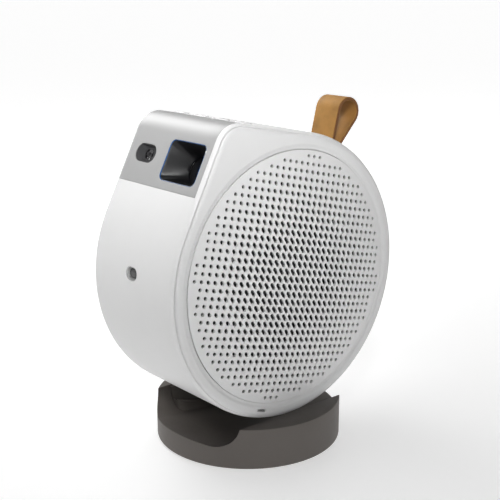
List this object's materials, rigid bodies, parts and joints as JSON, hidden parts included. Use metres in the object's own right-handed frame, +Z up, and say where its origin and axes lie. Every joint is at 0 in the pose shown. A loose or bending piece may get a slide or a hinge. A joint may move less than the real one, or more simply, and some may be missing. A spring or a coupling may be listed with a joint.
{
  "type": "portable home projector",
  "caption": "Drum-shaped portable home projector with leather carry strap, domed speaker grilles and a recessed lens, rolling in a round desk dock.",
  "frame": {"origin": "middle of the round dock's underside, on the surface it stands on", "axes": "+Z up; the lens looks toward -Y and upward; +X is the side with the speaker and lock slot; the drum turns about an axis along X"},
  "size_m": [0.12, 0.178, 0.2155],
  "materials": {
    "shell_white": "fine satin moulded, bright white",
    "grille_white": "satin white paint on perforated sheet",
    "plate_silver": "bead blasted, light silver",
    "black_trim": "smooth black",
    "lens_glass": "coated optical glass, bluish",
    "black_plastic": "moulded black",
    "grey_plastic": "moulded dark grey, fibre filled",
    "dark_gloss": "polished, nearly black",
    "machined_steel": "plated",
    "circuit_green": "solder resist on laminate",
    "copper": "bright drawn copper",
    "aluminium": "cast and extruded",
    "cell_wrap": "shrink sleeve",
    "speaker_metal": "black coated steel",
    "speaker_rubber": "soft matt",
    "speaker_cone": "woven dark cone",
    "button_white": "satin white",
    "tan_leather": "smooth tan leather with darker cut edges",
    "dock_grey": "soft-touch warm dark grey",
    "dock_dark": "soft-touch dark grey, a shade darker than the dock",
    "pin_white": "small light contact pin",
    "foot_rubber": "matt anti-slip",
    "ballast_iron": "raw cast plate"
  },
  "bodies": {
    "dock": {"dock_shell": "dock_grey", "dock_key": "dock_dark", "key_pin": "pin_white", "dock_cover": "black_plastic", "dock_foot": "foot_rubber", "dock_ballast": "ballast_iron", "dock_magnets": "machined_steel", "dock_screws": "machined_steel"},
    "woofer": {"woofer_frame": "speaker_metal", "woofer_magnet": "speaker_metal", "woofer_surround": "speaker_rubber"},
    "projector": {"rim_shell": "shell_white", "front_plate": "plate_silver", "panel_right": "shell_white", "panel_left": "shell_white", "grille_right": "grille_white", "grille_left": "grille_white", "lens_hood": "black_trim", "lens_mount": "grey_plastic", "focus_motor": "machined_steel", "light_engine": "grey_plastic", "led_modules": "circuit_green", "heat_pipes": "copper", "heatsink": "aluminium", "af_bezel": "black_trim", "af_lens": "dark_gloss", "ir_window": "dark_gloss", "ir_bezel": "plate_silver", "chassis": "aluminium", "chassis_screws": "machined_steel", "main_board": "circuit_green", "power_board": "circuit_green", "battery_cells": "cell_wrap", "battery_holder": "black_plastic", "fan_frame": "black_plastic", "speaker_baffle": "black_plastic", "baffle_screws": "machined_steel", "woofer_clamp": "black_plastic", "tweeters": "speaker_cone", "io_board": "circuit_green", "io_panel": "black_trim", "hdmi_socket": "machined_steel", "usb_c_socket": "machined_steel", "audio_jack": "black_plastic", "dc_inlet": "black_plastic", "lock_slot": "machined_steel", "button_board": "circuit_green", "strap": "tan_leather", "strap_clamp": "grey_plastic", "dock_armature": "machined_steel"},
    "cone": {"woofer_cone": "speaker_cone"},
    "lens_group": {"lens_barrel": "black_plastic", "lens_front": "lens_glass", "lens_rear": "lens_glass"},
    "screw": {"focus_screw": "machined_steel"},
    "fan": {"fan_rotor": "black_plastic"},
    "power_button": {"button_power": "button_white"},
    "mode_button": {"button_mode": "button_white"},
    "volume_down_button": {"button_volume_down": "button_white"},
    "volume_up_button": {"button_volume_up": "button_white"}
  },
  "joints": [
    {"name": "lift", "type": "slide", "parent": "dock", "child": "woofer", "axis": [0, 0, 1], "range_m": [0, 0.044]},
    {"name": "tilt", "type": "hinge", "parent": "woofer", "child": "projector", "pos_m": [0, 0, 0.114], "axis": [-1, 0, 0], "range_deg": [-26.5, 63.5]},
    {"name": "cone_travel", "type": "slide", "parent": "woofer", "child": "cone", "axis": [1, 0, 0], "range_m": [-0.0015, 0.0015], "stiffness_N_per_m": 1500},
    {"name": "focus", "type": "slide", "parent": "projector", "child": "lens_group", "axis": [0, -0.8949, 0.4462], "range_m": [-0.0008, 0.0008]},
    {"name": "focus_screw_turn", "type": "hinge", "parent": "projector", "child": "screw", "pos_m": [0.0163, -0.02191, 0.1866], "axis": [0, -0.8949, 0.4462], "range_deg": [-288.5, 288.5]},
    {"name": "fan_spin", "type": "hinge", "parent": "projector", "child": "fan", "pos_m": [-0.025, 0.00577, 0.11677], "axis": [1, 0, 0], "continuous": true},
    {"name": "power_press", "type": "slide", "parent": "projector", "child": "power_button", "axis": [0, -0.1822, -0.9833], "range_m": [0, 0.0007], "stiffness_N_per_m": 600},
    {"name": "mode_press", "type": "slide", "parent": "projector", "child": "mode_button", "axis": [0, -0.1822, -0.9833], "range_m": [0, 0.0007], "stiffness_N_per_m": 600},
    {"name": "volume_down_press", "type": "slide", "parent": "projector", "child": "volume_down_button", "axis": [0, -0.1822, -0.9833], "range_m": [0, 0.0007], "stiffness_N_per_m": 600},
    {"name": "volume_up_press", "type": "slide", "parent": "projector", "child": "volume_up_button", "axis": [0, -0.1822, -0.9833], "range_m": [0, 0.0007], "stiffness_N_per_m": 600}
  ],
  "couplings": [
    {"joint": "focus_screw_turn", "follows": "focus", "rad_per_m": 6283.2}
  ]
}
